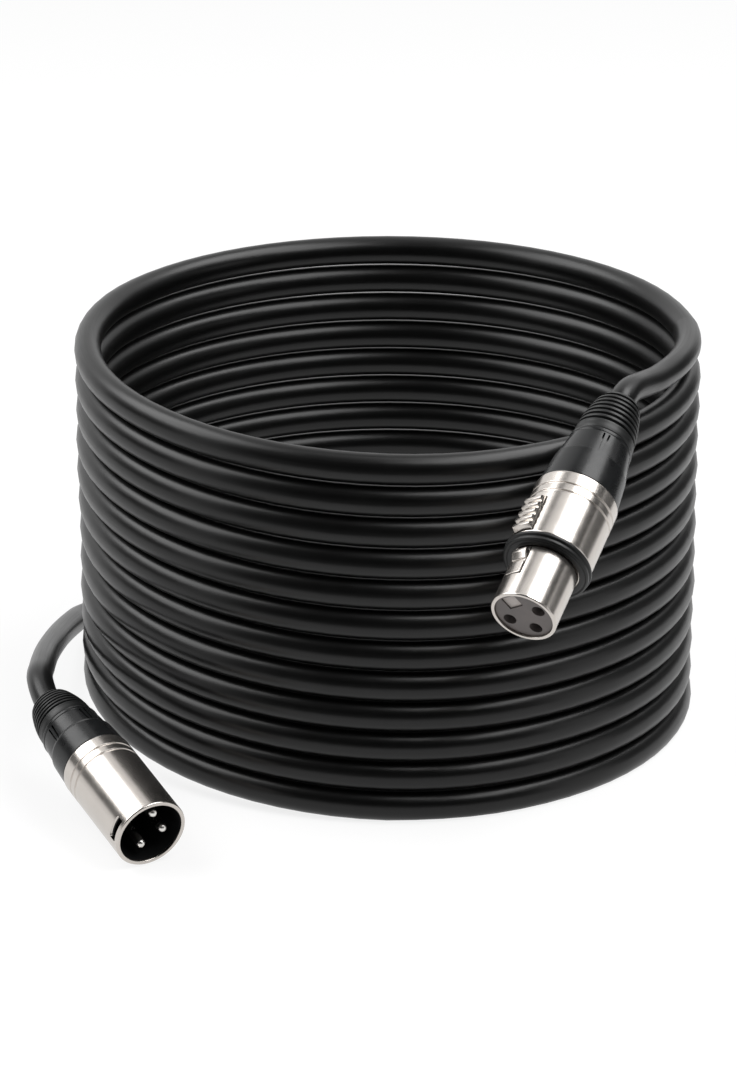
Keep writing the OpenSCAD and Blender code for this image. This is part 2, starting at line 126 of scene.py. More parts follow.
class FinishSettings(bpy.types.PropertyGroup):
    nickel: colour("Nickel", "Satin nickel plate on the shells", "#c8c2bc")
    plastic: colour("Bushing", "Black moulded nylon", "#0d0e0f")
    rubber: colour("Boot", "Black moulded rubber", "#0d0e0e")
    insert: colour("Insert", "Warm grey moulded insert", "#4f4947")
    key: colour("Key", "Pale grey key block", "#8f8884")
    # Brass hue darkened far below its own colour: painted shade, so the recessed contacts look
    # dark deep in their openings.
    brass: colour("Brass", "Contacts of dull brass, deep in their openings", "#2a2218")
    liner: colour("Liner", "Black liner of the male socket", "#08090a")
    silver: colour("Silver", "Bright silver plate on the pins", "#dedcd8")
    copper: colour("Copper", "Insulated conductors", "#8c3b2a")
    floor: colour("Floor", "Pale studio floor", "#f4f4f4")


SETTINGS = {"cable_coil_cable": CableSettings, "cable_coil_female": FemaleSettings,
            "cable_coil_male": MaleSettings, "cable_coil_finish": FinishSettings}


def cable():
    return bpy.context.scene.cable_coil_cable


def female():
    return bpy.context.scene.cable_coil_female


def male():
    return bpy.context.scene.cable_coil_male


def finish():
    return bpy.context.scene.cable_coil_finish


# ---- Places and fixed sizes: the same values as in the part's source ----

# Angles in degrees, and the share of a turn over which it climbs one pitch
COIL_FROM, COIL_TO = 105, 10
CLIMB_FROM, CLIMB_TO = 0.48, 0.86
FEMALE_ANGLE, FEMALE_HEADING, FEMALE_DROOP, FEMALE_ROLL = -47.3, 246, 28, 210
MALE_ANGLE, MALE_HEADING, MALE_DROOP, MALE_ROLL = 214.9, 301.2, 14.5, 255
CONTACT_ANGLES = (90, -90, 180)
FEMALE_SLITS, MALE_SLITS = range(10, 360, 72), range(24, 360, 72)

# Millimetres from here on
FEMALE_OUT, FEMALE_LIFT, MALE_OUT = 6, 3.5, 25.9
SKIRT, SKIRT_R, SHELL_BORE_R = 8, 8.2, 6.9      # a shell's skirt, inside its bushing
NECK, NECK_R = 3.5, 5.5                         # a boot's neck, inside its bushing
CONTACT_CIRCLE = 4.5
FEMALE_HOLE_R, MALE_HOLE_R = 1.6, 1.4
NOSE_WALL, RING_SEAT, RING_LIP, RING_WIDTH = 0.9, 0.9, 0.5, 2.4
FACE_RECESS, PIN_RECESS = 0.6, 1.4
FEMALE_INSERT, MALE_INSERT = 19.4, 7            # length of the blocks with the contacts
MOUTH_LIP, LINER_WALL = 0.8, 0.45
LEVER_WIDTH, PAD_WIDTH, PAD_RIBS = 4.3, 5.2, 5
PAD_FRONT, PAD_BACK = 0.75, 10.95               # both from the ring's rear
SLOT_HALF, SLOT_FRONT, SLOT_BACK = 3, 1.2, 3.6  # half its width, and its ends from the mouth

# Points of the leads beside the coil: angle, distance out, height above the turn they leave
FEMALE_ROUTE = ((-6.7, 0, 0.7), (-18.7, 0, 1.7), (-29.8, 0.3, 2.4), (-36.5, 1.2, 3.5),
                (-42.6, 3.3, 4.8))
MALE_ROUTE = ((123.5, 6.8, 0), (137.5, 11.6, 0.4), (148, 13.8, 2))
# The rest of the male lead, with heights above the floor
MALE_RISE = ((156.6, 14.2, 7), (164.3, 11.9, 10), (174.3, 10.6, 13.5), (184.2, 11.2, 17),
             (194.2, 14.1, 20.5), (203.1, 18.7, 23.5), (209.1, 23.2, 25))


def coil_radius():
    return (cable().coil_diameter - cable().diameter) / 2


def loops():
    """Turns from the bottom end of the coil to its top end."""
    return cable().turns + (COIL_FROM - COIL_TO) / 360


def floor_z():
    return cable().diameter / 2 - cable().flat


def top_z():
    return floor_z() + cable().pitch * cable().turns


def beside(angle, out_mm, z):
    """Place beside the coil: angle, distance out from the coil's centreline, height."""
    a, r = math.radians(angle), coil_radius() + out_mm * MM
    return Vector((r * math.cos(a), r * math.sin(a), z))


def pointing(at, heading, droop, roll):
    """Place of a connector whose boot's tail is there and whose mouth points that way."""
    return (Matrix.Translation(at) @ Matrix.Rotation(math.radians(heading), 4, "Z")
            @ Matrix.Rotation(math.radians(90 + droop), 4, "Y")
            @ Matrix.Rotation(math.radians(roll), 4, "Z"))


def female_place(roll=0):
    at = beside(FEMALE_ANGLE, FEMALE_OUT, top_z() + FEMALE_LIFT * MM)
    return pointing(at, FEMALE_HEADING, FEMALE_DROOP, roll)


def male_place(roll=0):
    m, droop = male(), math.radians(MALE_DROOP)
    height = m.length * math.sin(droop) + m.shell / 2 * math.cos(droop)
    return pointing(beside(MALE_ANGLE, MALE_OUT, height), MALE_HEADING, MALE_DROOP, roll)


# ---- Modelling by hand ----

def deselect():
    if bpy.context.object and bpy.context.object.mode != "OBJECT":
        bpy.ops.object.mode_set(mode="OBJECT")
    bpy.ops.object.select_all(action="DESELECT")


def pick(obj):
    deselect()
    obj.select_set(True)
    bpy.context.view_layer.objects.active = obj
    return obj


def start_vertex(name, point):
    """A new mesh in edit mode that holds one selected vertex."""
    deselect()
    bpy.ops.mesh.primitive_plane_add(size=MM)
    obj = bpy.context.object
    obj.name = obj.data.name = name
    bpy.ops.object.mode_set(mode="EDIT")
    bpy.ops.mesh.select_all(action="SELECT")
    bpy.ops.mesh.merge(type="CENTER")
    bpy.ops.transform.translate(value=point)
    return obj


def trace(points):
    """Extrudes the selected vertex from point to point."""
    for a, b in zip(points, points[1:]):
        bpy.ops.mesh.extrude_vertices_move(TRANSFORM_OT_translate={"value": b - a})


def tidy_mesh():
    bpy.ops.mesh.select_all(action="SELECT")
    bpy.ops.mesh.remove_doubles(threshold=1e-6)
    bpy.ops.mesh.normals_make_consistent(inside=False)


def softened(outline, radius, closed=True):
    """The outline in millimetres with its corners rounded and held by close points."""
    out = []
    count = len(outline)
    for i, here in enumerate(outline):
        p = Vector(here[:2])
        r = here[2] if len(here) > 2 else radius
        if not closed and i in (0, count - 1):
            out.append(p)
            continue
        a = Vector(outline[i - 1][:2]) - p
        b = Vector(outline[(i + 1) % count][:2]) - p
        reach = min(r, 0.4 * a.length, 0.4 * b.length)
        if reach < 0.01 or abs(a.normalized().dot(b.normalized())) > 0.996:
            out.append(p)
            continue
        ua, ub = a.normalized(), b.normalized()
        if a.length > 8 * reach:
            out.append(p + ua * reach * 1.8)
        for t in (0, 0.25, 0.5, 0.75, 1):
            out.append(p + ua * reach * (1 - t) ** 2 + ub * reach * t ** 2)
        if b.length > 8 * reach:
            out.append(p + ub * reach * 1.8)
    return out


def turned(name, outline, radius=0.12, sides=96, closed=True):
    """A body of revolution about Z: an outline of (radius, height) spun full circle."""
    flat = [Vector((p.x * MM, 0, p.y * MM)) for p in softened(outline, radius, closed)]
    obj = start_vertex(name, flat[0])
    trace(flat + flat[:1] if closed else flat)
    bpy.ops.mesh.select_all(action="SELECT")
    bpy.ops.mesh.spin(steps=sides, angle=FULL_TURN, center=(0, 0, 0), axis=(0, 0, 1))
    tidy_mesh()
    bpy.ops.object.mode_set(mode="OBJECT")
    return obj


def plate(name, outline, width, radius=0.12, bevel=0.12):
    """A plate of that width across Y, from an outline of (x, z) in millimetres."""
    flat = [Vector((p.x * MM, -width / 2 * MM, p.y * MM)) for p in softened(outline, radius)]
    obj = start_vertex(name, flat[0])
    trace(flat + flat[:1])
    bpy.ops.mesh.select_all(action="SELECT")
    bpy.ops.mesh.remove_doubles(threshold=1e-6)
    bpy.ops.mesh.edge_face_add()
    bpy.ops.mesh.extrude_region_move(TRANSFORM_OT_translate={"value": (0, width * MM, 0)})
    tidy_mesh()
    bpy.ops.object.mode_set(mode="OBJECT")
    if bevel:
        bevelled(obj, bevel)
    return obj


def block(name, low, high, bevel=0):
    """A box between two corners in millimetres, with its edges eased."""
    deselect()
    low, high = Vector(low), Vector(high)
    bpy.ops.mesh.primitive_cube_add(size=MM, location=(low + high) / 2 * MM)
    obj = bpy.context.object
    obj.name = obj.data.name = name
    obj.scale = high - low
    bpy.ops.object.transform_apply(location=True, rotation=False, scale=True)
    if bevel:
        bevelled(obj, bevel)
    return obj


def apply_modifier(obj, kind, **values):
    pick(obj)
    modifier = obj.modifiers.new(kind.lower(), kind)
    for key, value in values.items():
        setattr(modifier, key, value)
    bpy.ops.object.modifier_apply(modifier=modifier.name)


def bevelled(obj, width, segments=2, angle=35):
    apply_modifier(obj, "BEVEL", width=width * MM, segments=segments, limit_method="ANGLE",
                   angle_limit=math.radians(angle), miter_outer="MITER_ARC")


def cut(obj, *cutters):
    for cutter in cutters:
        apply_modifier(obj, "BOOLEAN", object=cutter, operation="DIFFERENCE", solver="EXACT")
        bpy.data.objects.remove(cutter)


def turned_by(obj, degrees, axis="Z"):
    obj.data.transform(Matrix.Rotation(math.radians(degrees), 4, axis))
    return obj


def shifted(obj, offset):
    obj.data.transform(Matrix.Translation(Vector(offset) * MM))
    return obj


def copied(obj, name):
    """A copy with its own mesh."""
    twin = obj.copy()
    twin.data = obj.data.copy()
    twin.name = twin.data.name = name
    bpy.context.collection.objects.link(twin)
    return twin


def joined(first, *others):
    pick(first)
    for other in others:
        other.select_set(True)
    bpy.ops.object.join()
    return first


def settle(obj, place, body, material, nodes=(), sharp=40):
    """Puts a finished piece in its place, with its object at the origin."""
    pick(obj)
    obj.matrix_world = place
    bpy.ops.object.transform_apply(location=True, rotation=True, scale=True)
    bpy.ops.object.shade_smooth_by_angle(angle=math.radians(sharp))
    obj.data.materials.clear()
    obj.data.materials.append(material)
    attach(obj, body)
    if nodes:
        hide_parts(*nodes)
    return obj


# ---- Materials ----

def node(tree, kind, links=(), **settings):
    """Adds a node. Settings are properties or, with a name of a socket, its value."""
    made = tree.nodes.new(kind)
    for key, value in settings.items():
        if hasattr(made, key):
            setattr(made, key, value)
        else:
            made.inputs[key.replace("_", " ")].default_value = value
    for socket, source in dict(links).items():
        tree.links.new(source, made.inputs[socket])
    return made


def rgba(value):
    return (*value, 1)


def new_material(name):
    if name in bpy.data.materials:
        return bpy.data.materials[name], None, None
    material = bpy.data.materials.new(name)
    material.use_nodes = True
    tree = material.node_tree
    return material, tree, tree.nodes["Principled BSDF"]


def grain(tree, size_mm, detail=3):
    """Noise on object coordinates with features of that size."""
    where = node(tree, "ShaderNodeTexCoord")
    return node(tree, "ShaderNodeTexNoise", {"Vector": where.outputs["Object"]},
                Scale=1 / (size_mm * MM), Detail=detail, Roughness=0.55)


def ramp(tree, source, low, high, out_low, out_high):
    made = node(tree, "ShaderNodeMapRange", {"Value": source})
    for key, value in (("From Min", low), ("From Max", high), ("To Min", out_low),
                       ("To Max", out_high)):
        made.inputs[key].default_value = value
    return made.outputs["Result"]


def bump(tree, bsdf, height, strength, distance_mm):
    made = node(tree, "ShaderNodeBump", {"Height": height}, Strength=strength,
                Distance=distance_mm * MM)
    tree.links.new(made.outputs["Normal"], bsdf.inputs["Normal"])


def tinted(tree, source, first, second):
    """A colour that varies between two as the source goes from 0 to 1."""
    mix = node(tree, "ShaderNodeMix", data_type="RGBA")
    mix.inputs[6].default_value = rgba(first)
    mix.inputs[7].default_value = rgba(second)
    tree.links.new(source, mix.inputs[0])
    return mix.outputs[2]


def shade(value, factor):
    """The colour made darker or, with a factor above 1, lighter."""
    return tuple(v * factor for v in value)


def pvc_jacket():
    """Extruded PVC: satin, with faint draw lines along the cable and a slight bloom."""
    material, tree, bsdf = new_material("extruded_pvc_jacket")
    if tree is None:
        return material
    uv = node(tree, "ShaderNodeUVMap", uv_map="along")
    # the U axis runs along the cable in metres, V goes once around it
    stretch = node(tree, "ShaderNodeMapping", {"Vector": uv.outputs["UV"]})
    stretch.inputs["Scale"].default_value = (12, 14, 1)
    lines = node(tree, "ShaderNodeTexNoise", {"Vector": stretch.outputs["Vector"]},
                 Scale=3, Detail=3, Roughness=0.6)
    bloom = grain(tree, 9, 2)
    fine = grain(tree, 0.5, 2)
    base = cable().jacket
    tree.links.new(tinted(tree, ramp(tree, bloom.outputs["Fac"], 0.35, 0.65, 0, 1),
                          shade(base, 0.85), shade(base, 1.25)), bsdf.inputs["Base Color"])
    tree.links.new(ramp(tree, lines.outputs["Fac"], 0.3, 0.7, 0.29, 0.36),
                   bsdf.inputs["Roughness"])
    both = node(tree, "ShaderNodeMath", {0: lines.outputs["Fac"], 1: fine.outputs["Fac"]},
                operation="ADD")
    bump(tree, bsdf, both.outputs["Value"], 0.2, 0.02)
    bsdf.inputs["IOR"].default_value = 1.38
    return material


def moulded(name, base, roughness, grain_mm, depth_mm, ior=1.5):
    """A moulded surface with the grain of its tool and a slight change of gloss."""
    material, tree, bsdf = new_material(name)
    if tree is None:
        return material
    fine, broad = grain(tree, grain_mm, 3), grain(tree, 5, 2)
    tree.links.new(tinted(tree, ramp(tree, broad.outputs["Fac"], 0.35, 0.65, 0, 1),
                          shade(base, 0.9), shade(base, 1.12)), bsdf.inputs["Base Color"])
    gloss = ramp(tree, broad.outputs["Fac"], 0.3, 0.7, roughness - 0.04, roughness + 0.05)
    tree.links.new(gloss, bsdf.inputs["Roughness"])
    bump(tree, bsdf, fine.outputs["Fac"], 0.5, depth_mm)
    bsdf.inputs["IOR"].default_value = ior
    return material


def plated(name, base, roughness, grain_mm, depth_mm):
    """Plated metal: a bead-blasted or bright surface with slightly uneven gloss."""
    material, tree, bsdf = new_material(name)
    if tree is None:
        return material
    fine, broad = grain(tree, grain_mm, 2), grain(tree, 4, 2)
    bsdf.inputs["Metallic"].default_value = 1
    tree.links.new(tinted(tree, ramp(tree, broad.outputs["Fac"], 0.3, 0.7, 0, 1),
                          shade(base, 0.94), base), bsdf.inputs["Base Color"])
    gloss = ramp(tree, broad.outputs["Fac"], 0.3, 0.7, roughness - 0.02, roughness + 0.02)
    tree.links.new(gloss, bsdf.inputs["Roughness"])
    bump(tree, bsdf, fine.outputs["Fac"], 0.3, depth_mm)
    return material


def satin_nickel():
    # bead-blasted zinc under nickel; real beads leave 0.1 mm dimples, drawn at 0.25 mm
    return plated("satin_nickel_plate", finish().nickel, 0.24, 0.25, 0.0005)


def bright_silver():
    return plated("bright_silver_plate", finish().silver, 0.28, 0.4, 0.0005)


# Brass in painted shade: the colour is darkened so the contacts look shaded deep in their
# openings.
def brass_with_painted_shade():
    return plated("brass_with_painted_shade", finish().brass, 0.25, 0.3, 0.003)


def black_nylon():
    # glass-filled nylon from a finely spark-eroded tool
    return moulded("moulded_black_nylon", finish().plastic, 0.28, 0.3, 0.004, 1.36)


def socket_liner():
    return moulded("moulded_black_liner", finish().liner, 0.6, 0.3, 0.01, 1.3)


def boot_rubber():
    return moulded("moulded_rubber", finish().rubber, 0.42, 0.35, 0.012, 1.4)


def insert_plastic():
    return moulded("moulded_grey_insert", finish().insert, 0.5, 0.3, 0.015)


def key_plastic():
    return moulded("moulded_pale_key", finish().key, 0.5, 0.3, 0.015)


def conductor_insulation():
    return moulded("conductor_insulation", finish().copper, 0.4, 0.3, 0.01)


# ---- Cable ----

def ease(x):
    c = min(max(x, 0), 1)
    return c * c * (3 - 2 * c)


def coil_point(u):
    """Centre of the cable after u turns from the bottom end."""
    whole = math.floor(u)
    climb = ease((u - whole - CLIMB_FROM) / (CLIMB_TO - CLIMB_FROM))
    z = floor_z() + cable().pitch * (whole + climb)
    a = math.radians(COIL_FROM - 360 * u)
    return Vector((coil_radius() * math.cos(a), coil_radius() * math.sin(a), z))


def coil_heading(u):
    a = math.radians(COIL_FROM - 360 * u)
    return Vector((math.sin(a), -math.cos(a), 0))


def strayed(u):
    """A coil point with the slight unevenness of turns that were laid by hand."""
    p = coil_point(u)
    fade = ease(u * 2) * ease((loops() - u) * 2)
    t = FULL_TURN * u
    slow = 0.55 * math.sin(0.37 * t + 1.3) * math.cos(0.113 * t)
    quick = 0.45 * math.sin(1.17 * t + 0.4)
    out = Vector((p.x, p.y, 0)).normalized()
    return p + out * (slow + quick) * fade * cable().wander


def between(a, b, c, d, t):
    """Place on the smooth curve through four points, t of the way from b to c."""
    return 0.5 * (2 * b + (c - a) * t + (2 * a - 5 * b + 4 * c - d) * t ** 2
                  + (3 * b - a - 3 * c + d) * t ** 3)


def smooth_line(route, steps):
    """The route from its second point to its last but one, in steps from point to point."""
    line = []
    for a, b, c, d in zip(route, route[1:], route[2:], route[3:]):
        line += [between(a, b, c, d, s / steps) for s in range(steps)]
    return line + [route[-2]]


def entering(place, distances):
    """Points on a connector's axis, those distances in millimetres in from its boot's tail."""
    at, axis = place.translation, place.to_3x3() @ Vector((0, 0, 1))
    return [at + axis * s * MM for s in distances]


def female_lead():
    heading, place = coil_heading(loops()), female_place()
    end = coil_point(loops()) + heading * cable().diameter
    route = [end - heading * 12 * MM, end]
    route += [beside(a, out, top_z() + up * MM) for a, out, up in FEMALE_ROUTE]
    route += entering(place, (-1.5, 3, 12))
    return smooth_line(route, 8) + entering(place, (6, 12))


def male_lead():
    heading, place = coil_heading(0), male_place()
    end = coil_point(0) - heading * cable().diameter
    route = [end + heading * 18 * MM, end]
    route += [beside(a, out, floor_z() + up * MM) for a, out, up in MALE_ROUTE]
    route += [beside(a, out, up * MM) for a, out, up in MALE_RISE]
    route += entering(place, (-1.5, 4, 15))
    return smooth_line(route, 7) + entering(place, (8, 12))


def cable_line():
    """The cable's centreline from inside the male boot to inside the female one, and its
    half width and half height at each point: oval where turns press on one another."""
    steps = round(loops() * 72)
    coil = [strayed(loops() * i / steps) for i in range(steps + 1)]
    back, front = male_lead()[::-1], female_lead()
    wound = Vector((cable().wound_width, cable().wound_height)) / 2
    free = Vector((cable().free_diameter, cable().free_diameter)) / 2
    blend = 40 * MM

    def rounded(lead, end):
        return [free.lerp(wound, 1 - ease((p - end).length / blend)) for p in lead]

    sections = rounded(back, coil[0]) + [wound] * len(coil) + rounded(front, coil[-1])
    return back + coil + front, sections


def swept(name, line, sections, sides):
    """A closed tube along a line, with a UV map that runs along it and around it."""
    up = Vector((0, 0, 1))
    points, faces, along = [], [], [0.0]
    for a, b in zip(line, line[1:]):
        along.append(along[-1] + (b - a).length)
    for i, (p, half) in enumerate(zip(line, sections)):
        t = (line[min(i + 1, len(line) - 1)] - line[max(i - 1, 0)]).normalized()
        side = t.cross(up).normalized()
        high = side.cross(t)
        for k in range(sides):
            a = FULL_TURN * k / sides
            q = p + half.x * math.cos(a) * side + half.y * math.sin(a) * high
            points.append((q.x, q.y, max(q.z, 0)))
    for i in range(len(line) - 1):
        for k in range(sides):
            a, b = i * sides + k, i * sides + (k + 1) % sides
            faces.append((a, b, b + sides, a + sides))
    last = (len(line) - 1) * sides
    faces.append(tuple(reversed(range(sides))))
    faces.append(tuple(range(last, last + sides)))
    mesh = bpy.data.meshes.new(name)
    mesh.from_pydata(points, [], faces)
    layer = mesh.uv_layers.new(name="along")
    for polygon in mesh.polygons:
        for corner in polygon.loop_indices:
            vertex = mesh.loops[corner].vertex_index
            ring, k = divmod(vertex, sides)
            wrap = 1 if k == 0 and any(mesh.loops[c].vertex_index % sides == sides - 1
                                       for c in polygon.loop_indices) else k / sides
            layer.data[corner].uv = (along[ring], wrap)
    obj = bpy.data.objects.new(name, mesh)
    bpy.context.collection.objects.link(obj)
    pick(obj)
    bpy.ops.object.mode_set(mode="EDIT")
    bpy.ops.mesh.select_all(action="SELECT")
    bpy.ops.mesh.normals_make_consistent(inside=False)
    bpy.ops.object.mode_set(mode="OBJECT")
    return obj, along[-1]


class CABLE_COIL_OT_cable(bpy.types.Operator):
    """The jacketed cable: its wound turns and both free leads, as one tube"""
    bl_idname = "cable_coil.cable"
    bl_label = "Cable"

    def execute(self, context):
        line, sections = cable_line()
        obj, measured = swept("cable", line, sections, 24)
        settle(obj, Matrix.Identity(4), BASE, pvc_jacket(),
               ("cable_coil", "cable_lead_female", "cable_lead_male"), sharp=60)
        context.scene["cable_length"] = measured
        context.scene["cable_exit"] = list(female_place().translation)
        context.scene["cable_path"] = [c for p in line for c in p]
        return {"FINISHED"}


# ---- Rear end that both connectors share ----

# One groove and rib of a boot: share of its length along the boot, and depth
GROOVE = ((0, 0.06), (0.08, 0.4), (0.17, 0.7), (0.3, 0.72), (0.4, 0.4), (0.5, 0.1),
          (0.64, 0), (0.85, 0))


def boot(name, long, base):
    """Domed rubber boot with seven grooves between its rounded tail and a plain collar."""
    bore, tail = 3.8, 4.9
    grooves, first, collar, crown = 7, 1.5, 1.9, 1.4
    last = long - collar
    outline = [(bore, 3), (bore + 0.3, 0), (tail - 0.9, 0, 0.5), (tail - 0.1, 0.55, 0.5)]

    def wall(z):
        climb = min(z / (long - crown), 1)
        return tail + (base - tail) * math.sin(climb * math.pi / 2) ** 0.9

    step = (last - first) / grooves
    for i in range(grooves):
        z = first + i * step
        for t, depth in GROOVE:
            outline.append((wall(z + t * step) - depth, z + t * step, 0.02))
    outline += [(base - 0.05, last + 0.2, 0.1), (base, long - 0.8, 0.2),
                (base - 0.1, long - 0.05, 0.2), (NECK_R, long), (NECK_R, long + NECK),
                (bore, long + NECK)]
    return turned(name, outline, 0.08, 80)


def lancet(side, depth):
    """Cutter for one slit that narrows and closes in on its twin towards the front."""
    outline = [(0.42 * side, 0), (0.9 * side, 0), (0.78 * side, 4), (0.3 * side, 6.5),
               (0.36 * side, 4)]
    return turned_by(plate("slit", outline, depth, 0.12, 0), 90)


def bushing(name, back, barrel_z, front_r, waist, rise, slits, rear):
    """Screwed nylon sleeve with pairs of lancet slits behind its waist."""
    middle = back + (barrel_z - back) * 0.45
    bead, thread_r, hollow_r = 1.4, SKIRT_R + 0.05, 6.75
    outline = [(NECK_R, back), (rear - 0.5, back), (rear + 0.1, back + 0.4, 0.25),
               (rear + 0.1, back + 1.2, 0.2), (rear, back + bead, 0.1), (waist, middle, 0.6),
               (waist + rise, middle + 0.6, 0.6), (front_r, barrel_z - 0.3, 0.3),
               (front_r - 0.2, barrel_z, 0.15), (thread_r, barrel_z),
               (thread_r, barrel_z - SKIRT), (hollow_r, barrel_z - SKIRT),
               (hollow_r, back + NECK), (NECK_R, back + NECK)]
    obj = turned(name, outline, 0.12, 96)
    lean = math.degrees(math.atan((waist - rear) / (middle - back - bead)))
    cutter, outwards, slit_from = 3, 0.55, 1.7
    for centre in slits:
        for side in (-1, 1):
            slit = turned_by(shifted(lancet(side, cutter), (outwards, 0, 0)), lean, "Y")
            shifted(slit, (rear, 0, back + slit_from))
            cut(obj, turned_by(slit, centre))
    return obj


def rear_end(prefix, place, long, barrel_z, front_r, waist, rise, slits, rear):
    """Bushing and boot of one connector, on the body of its sleeve."""
    bush = bushing(prefix + "_sleeve", long, barrel_z, front_r, waist, rise, slits, rear)
    settle(bush, place, prefix + "_sleeve", black_nylon(),
           (prefix + "_bushing",))
    relief = boot(prefix + "_strain_relief", long, rear - 0.3)
    settle(relief, place, prefix + "_sleeve", boot_rubber(), (prefix + "_boot",))


class CABLE_COIL_OT_female_rear(bpy.types.Operator):
    """Boot and bushing of the female connector"""
    bl_idname = "cable_coil.female_rear"
    bl_label = "Female boot and bushing"

    def execute(self, context):
        f = female()
        rear_end("female", female_place(), f.boot / MM, (f.boot + f.bushing) / MM,
                 f.barrel / MM / 2 - 0.25, waist=9, rise=0.15, slits=FEMALE_SLITS, rear=7.8)
        return {"FINISHED"}


class CABLE_COIL_OT_male_rear(bpy.types.Operator):
    """Boot and bushing of the male connector"""
    bl_idname = "cable_coil.male_rear"
    bl_label = "Male boot and bushing"

    def execute(self, context):
        m = male()
        rear_end("male", male_place(), m.boot / MM, (m.boot + m.bushing) / MM,
                 m.shell / MM / 2 - 0.2, waist=8.15, rise=0.4, slits=MALE_SLITS, rear=7.6)
        return {"FINISHED"}


# ---- Female connector ----

def grooved(barrel_z, r):
    """Outline points for the two turned grooves at the rear of a barrel."""
    points, depth, width = [], 0.3, 0.7
    for z in (barrel_z + 3.4, barrel_z + 5.8):
        points += [(r, z, 0.08), (r - depth, z + 0.1, 0.1), (r - depth, z + 0.6, 0.1),
                   (r, z + width, 0.08)]
    return points


def shell_rear(barrel_z, r):
    """Outline points from a shell's threaded skirt to its turned grooves."""
    return [(SHELL_BORE_R, barrel_z - SKIRT), (SKIRT_R, barrel_z - SKIRT), (SKIRT_R, barrel_z),
            (r, barrel_z, 0.3)] + grooved(barrel_z, r)


class CABLE_COIL_OT_female_shell(bpy.types.Operator):
    """Nickel-plated shell with its nose, thumb-pad window and hook window"""
    bl_idname = "cable_coil.female_shell"
    bl_label = "Female shell"

    def execute(self, context):
        f = female()
        r, nose, end = f.barrel / MM / 2, f.nose / MM / 2, f.length / MM
        barrel_z = (f.boot + f.bushing) / MM
        shoulder = end - f.nose_length / MM
        back, seat, inner = shoulder - RING_WIDTH, nose + RING_SEAT, nose - NOSE_WALL
        ledge_r, ledge, ledge_back = 6.3, end - 20, end - 21.5
        outline = shell_rear(barrel_z, r) + [
            (r, back, 0.45), (seat, back), (seat, shoulder - RING_LIP),
            (nose, shoulder - RING_LIP), (nose, end, 0.45), (inner, end, 0.2),
            (inner, ledge), (ledge_r, ledge), (ledge_r, ledge_back), (SHELL_BORE_R, ledge_back)]
        obj = turned("female_barrel", outline, 0.1, 128)
        pad_side, lever_side = 2.9, 2.45
        window = block("window", (5, -pad_side, back - 11.25),
                       (14, pad_side, back - 0.45), 0.25)
        under_ring = block("under_ring", (4.5, -lever_side, back - 14.3),
                           (8.1, lever_side, shoulder), 0)
        hook_way = block("hook_way", (4.5, -lever_side, shoulder - 0.6),
                         (12, lever_side, shoulder + 8.5), 0.2)
        cut(obj, window, under_ring, hook_way)
        settle(obj, female_place(FEMALE_ROLL), BASE, satin_nickel(),
               ("female_shell",))
        return {"FINISHED"}


class CABLE_COIL_OT_female_ring(bpy.types.Operator):
    """Double bead of rubber at the shoulder"""
    bl_idname = "cable_coil.female_ring"
    bl_label = "Rubber ring"

    def execute(self, context):
        f = female()
        nose, outer = f.nose / MM / 2, f.ring / MM / 2
        front = (f.length - f.nose_length) / MM
        back, seat, lip_r = front - RING_WIDTH, nose + RING_SEAT, nose + 0.3
        outline = [(seat, back), (outer - 0.3, back, 0.1), (outer, back + 0.25, 0.3),
                   (outer, back + 0.85, 0.3), (outer - 0.55, back + 1.15, 0.1),
                   (outer - 0.3, back + 1.45, 0.3), (outer - 0.3, front - 0.35, 0.3),
                   (outer - 0.75, front - 0.05, 0.1), (outer - 1.1, front - 0.3, 0.1),
                   (outer - 1.45, front, 0.2), (lip_r, front, 0.15),
                   (lip_r, front - RING_LIP), (seat, front - RING_LIP)]
        obj = turned("female_shoulder_ring", outline, 0.05, 128)
        settle(obj, female_place(FEMALE_ROLL), BASE, boot_rubber(),
               ("female_ring",))
        return {"FINISHED"}


def face_holes(obj, radius, low, high, mirror):
    """Bores for the three contacts. A female face is the mirror image of a male one."""
    outline = [(0, low), (radius, low), (radius, high), (0, high)]
    for a in CONTACT_ANGLES:
        hole = shifted(turned("hole", outline, 0, 40, False), (CONTACT_CIRCLE, 0, 0))
        cut(obj, turned_by(hole, -a if mirror else a))


class CABLE_COIL_OT_female_insert(bpy.types.Operator):
    """Grey insert with its contact openings and the pale key block"""
    bl_idname = "cable_coil.female_insert"
    bl_label = "Female insert"

    def execute(self, context):
        f = female()
        r, face = f.nose / MM / 2 - NOSE_WALL, f.length / MM - FACE_RECESS
        back = face - FEMALE_INSERT
        obj = turned("female_contact_block", [(0, back), (r, back), (r, face, 0.15), (0, face)],
                     0.1, 96, False)
        face_holes(obj, FEMALE_HOLE_R, back - 1, face + 1, mirror=True)
        channel = block("channel", (4.6, -2.45, back - 1), (9, 2.45, face - 5.9))
        pocket = block("pocket", (2.8, -2, face - 4), (6.4, 2, face + 1))
        cut(obj, channel, pocket)
        settle(obj, female_place(FEMALE_ROLL), BASE, insert_plastic(),
               ("female_insert",))
        key = block("female_key", (2.8, -2, face - 4), (6.4, 2, face - 0.4), 0.12)
        settle(key, female_place(FEMALE_ROLL), BASE, key_plastic(),
               ("female_key_block",))
        return {"FINISHED"}


